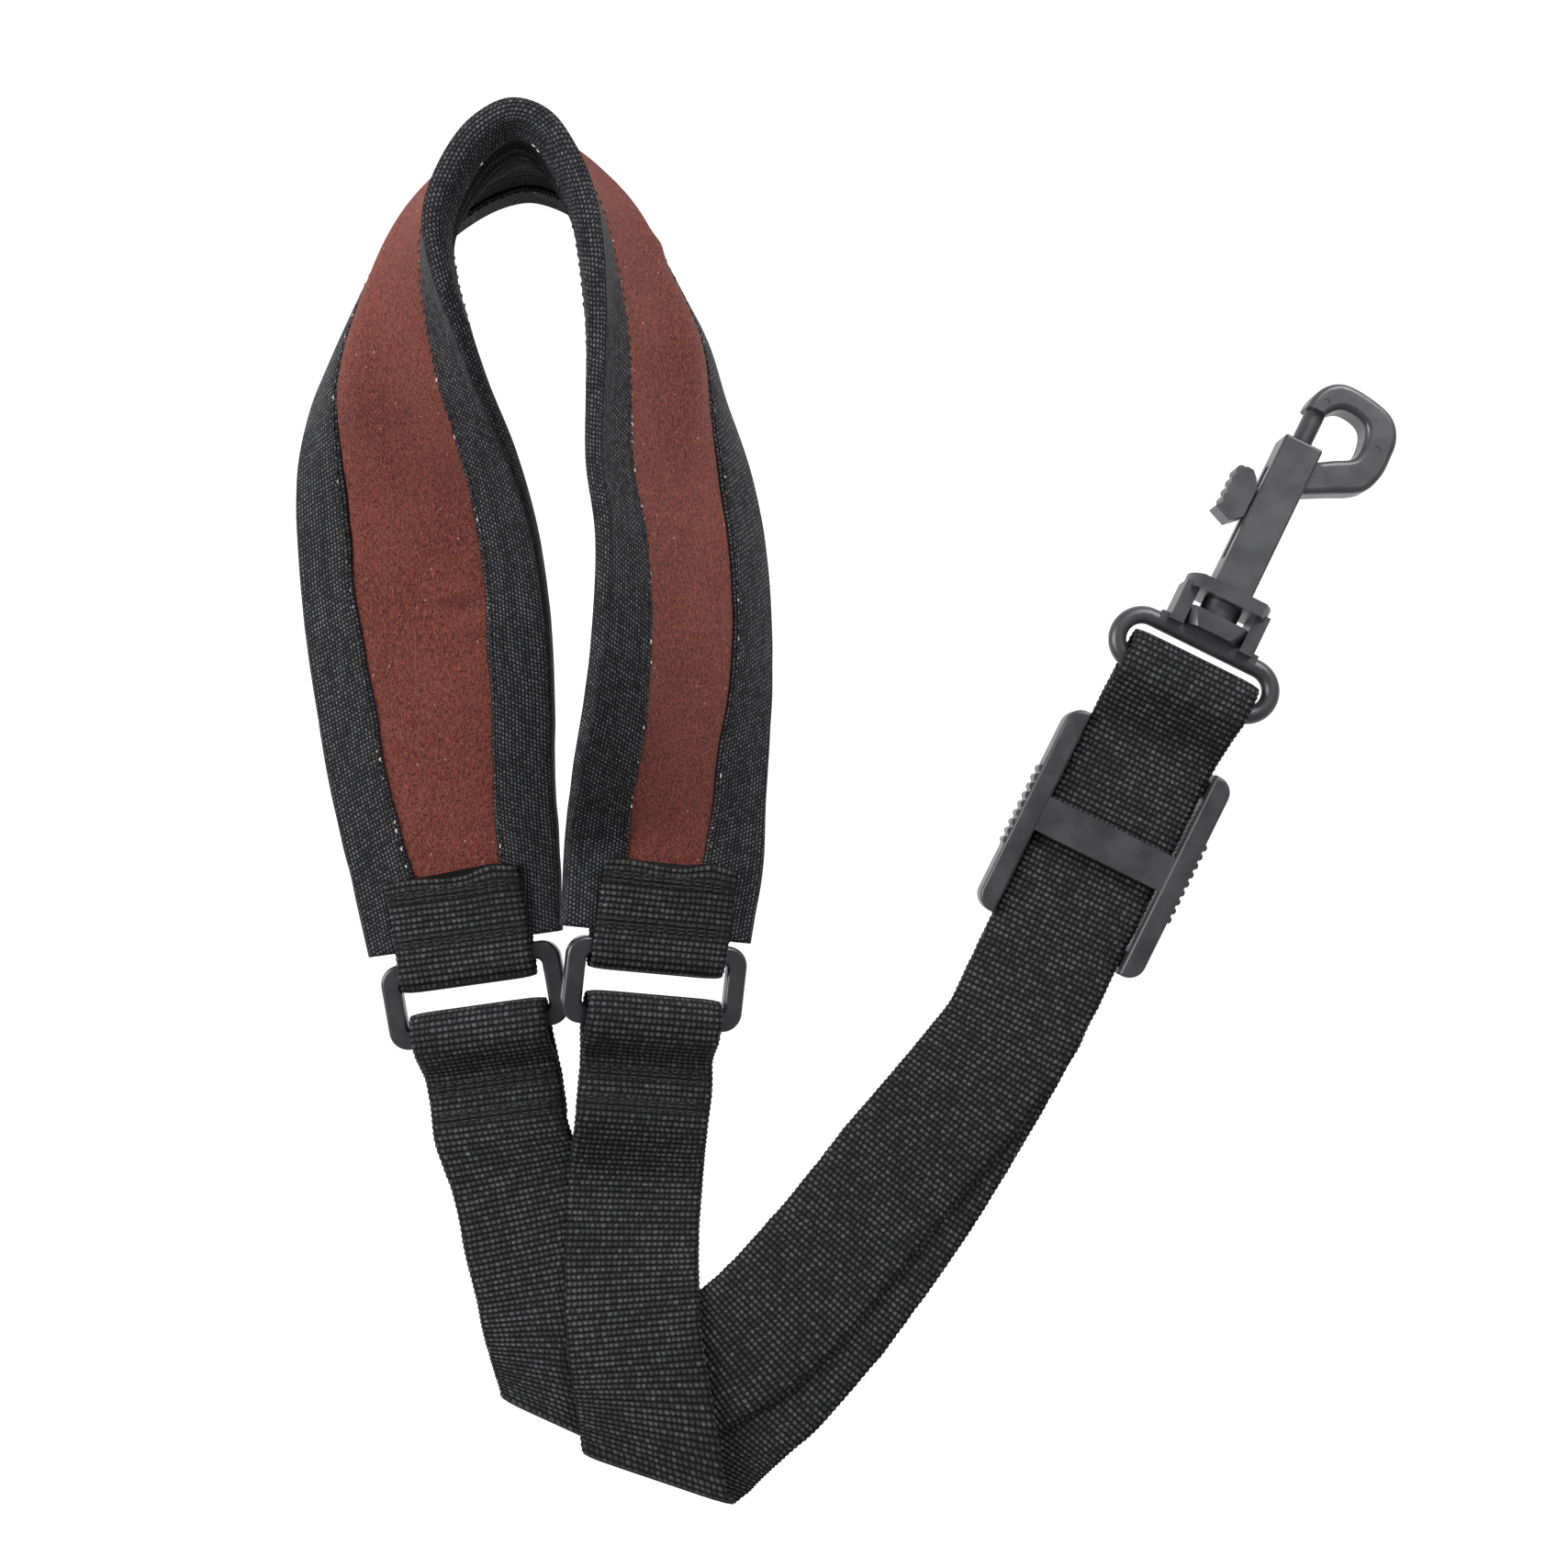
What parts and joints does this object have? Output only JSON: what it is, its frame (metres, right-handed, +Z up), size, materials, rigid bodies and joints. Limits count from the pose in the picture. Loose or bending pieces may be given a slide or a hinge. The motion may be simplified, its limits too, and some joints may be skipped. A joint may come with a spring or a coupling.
{
  "type": "saxophone neck strap",
  "caption": "Padded neck band with webbing strap, slider and swivel snap hook that carries a saxophone, laid down flat with the band standing on its outer edge.",
  "frame": {"origin": "on the surface the strap lies on, under the middle of its bounding box", "axes": "+Z up from the surface; +Y along the neck band, from the fold of the webbing to the closed top of the band; +X towards the slider and the hook"},
  "size_m": [0.2036, 0.2506, 0.0464],
  "materials": {
    "suede": "brushed suede, matt, reddish brown",
    "foam": "closed-cell foam, hidden between the skins",
    "lining": "black ribbed lining",
    "tape": "black twill binding tape",
    "thread": "pale sewing thread",
    "black_thread": "black sewing thread",
    "webbing": "black ribbed nylon webbing",
    "ring_plastic": "black satin moulded plastic",
    "hardware_plastic": "dark grey satin moulded plastic",
    "spring_steel": "bright drawn wire"
  },
  "bodies": {
    "strap": {"suede_panel": "suede", "foam_core": "foam", "mesh_lining": "lining", "outer_edge_tape": "tape", "inner_edge_tape": "tape", "outer_tape_stitching": "thread", "inner_tape_stitching": "thread", "left_pad_tab": "webbing", "right_pad_tab": "webbing", "left_tab_stitching": "black_thread", "right_tab_stitching": "black_thread", "webbing_strap": "webbing", "left_strap_stitching": "black_thread", "right_strap_stitching": "black_thread"},
    "left_ring": {"left_ring": "ring_plastic"},
    "right_ring": {"right_ring": "ring_plastic"},
    "slider": {"slider": "hardware_plastic"},
    "swivel_base": {"swivel_base": "hardware_plastic"},
    "hook": {"hook_body": "hardware_plastic", "gate_spring": "spring_steel"},
    "gate_bolt": {"gate_bolt": "hardware_plastic"}
  },
  "joints": [
    {"name": "left_ring_tilt", "type": "hinge", "parent": "strap", "child": "left_ring", "pos_m": [-0.06975, -0.02372, 0.0032], "axis": [-0.985, -0.1724, 0], "range_deg": [0, 5]},
    {"name": "right_ring_tilt", "type": "hinge", "parent": "strap", "child": "right_ring", "pos_m": [-0.03439, -0.02114, 0.00793], "axis": [-0.954, 0.1003, 0.2826], "range_deg": [0, 5]},
    {"name": "slider_slide", "type": "slide", "parent": "strap", "child": "slider", "axis": [0.4431, 0.8965, 0], "range_m": [-0.015, 0.008]},
    {"name": "base_swing", "type": "hinge", "parent": "strap", "child": "swivel_base", "pos_m": [0.0622, 0.02708, 0.0066], "axis": [0.8965, -0.4431, 0], "range_deg": [-95, 150]},
    {"name": "hook_swivel", "type": "hinge", "parent": "swivel_base", "child": "hook", "pos_m": [0.0622, 0.02708, 0.0066], "axis": [0.4425, 0.8953, -0.0523], "continuous": true},
    {"name": "gate_bolt_slide", "type": "slide", "parent": "hook", "child": "gate_bolt", "axis": [0.4425, 0.8953, -0.0523], "range_m": [-0.0066, 0], "stiffness_N_per_m": 150, "springref_m": 0.004, "deforming": ["gate_spring"]}
  ]
}
